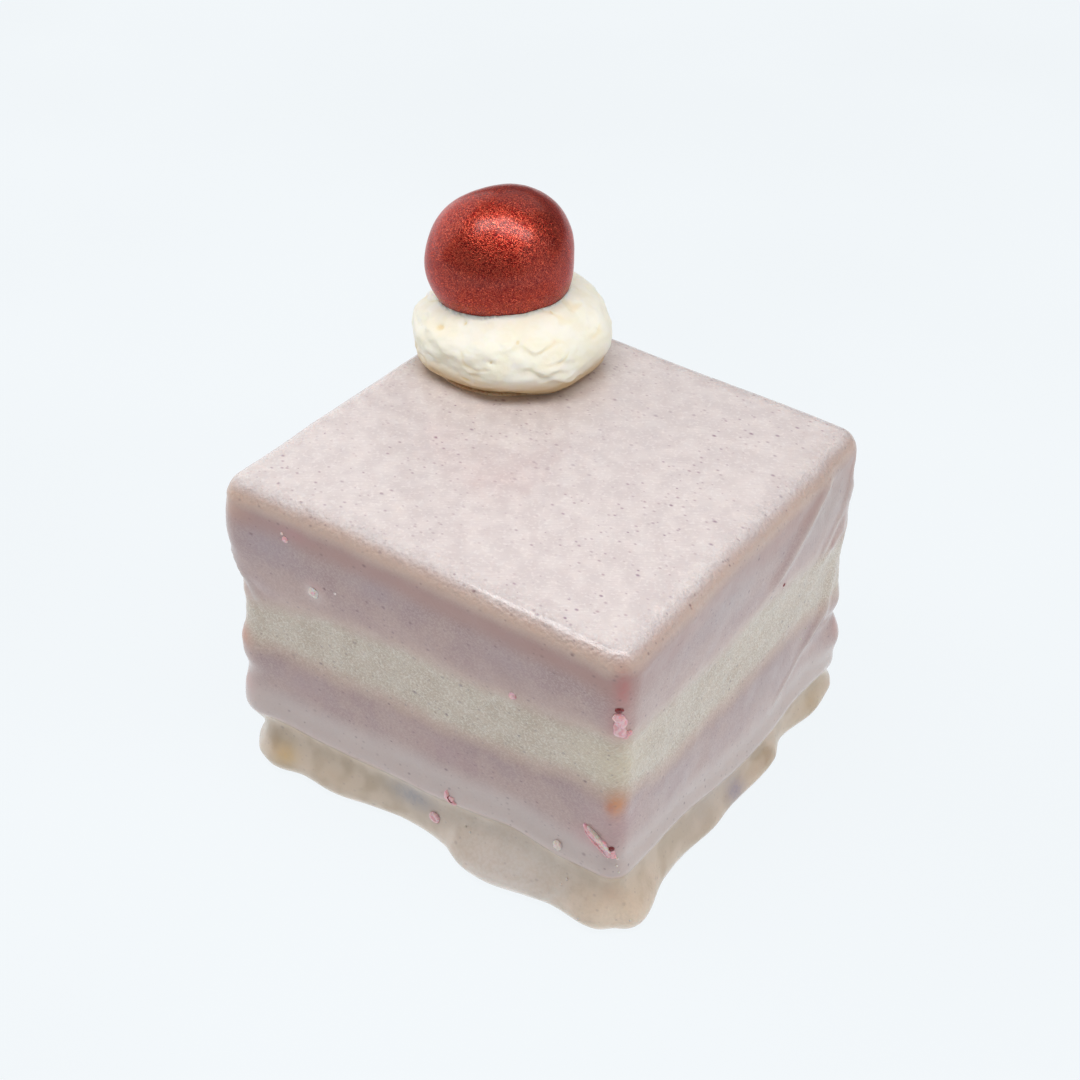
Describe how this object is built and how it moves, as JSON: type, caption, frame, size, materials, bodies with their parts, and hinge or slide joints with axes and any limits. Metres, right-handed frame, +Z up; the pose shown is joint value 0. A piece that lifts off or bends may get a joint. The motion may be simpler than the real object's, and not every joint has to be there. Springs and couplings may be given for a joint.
{
  "type": "berry cake",
  "caption": "Small square layer cake in thin pale glaze with a cream dollop and a red shimmer ball on top.",
  "frame": {"origin": "on the floor under the middle of the cake's outline", "axes": "+Z up, the cake's two plain side faces look along -Y and +X, the cream dollop is near the -X +Y corner"},
  "size_m": [0.0436, 0.044, 0.0475],
  "materials": {
    "base_sponge": "dry open crumb, matt",
    "pooled_glaze": "set translucent glaze, satin",
    "berry_cream": "berry cream seen through thin glaze, satin",
    "vanilla_sponge": "pale sponge seen through thin glaze, satin",
    "top_glaze": "pale lilac glaze with fine berry specks, satin",
    "whipped_cream": "whipped cream, soft matt",
    "red_shimmer": "red pearl dusting, metallic satin"
  },
  "bodies": {
    "root": {"base_sponge": "base_sponge", "glaze_foot": "pooled_glaze", "lower_berry_layer": "berry_cream", "middle_sponge": "vanilla_sponge", "upper_berry_layer": "berry_cream", "top_glaze": "top_glaze", "cream_dollop": "whipped_cream", "shimmer_ball": "red_shimmer"}
  },
  "joints": []
}
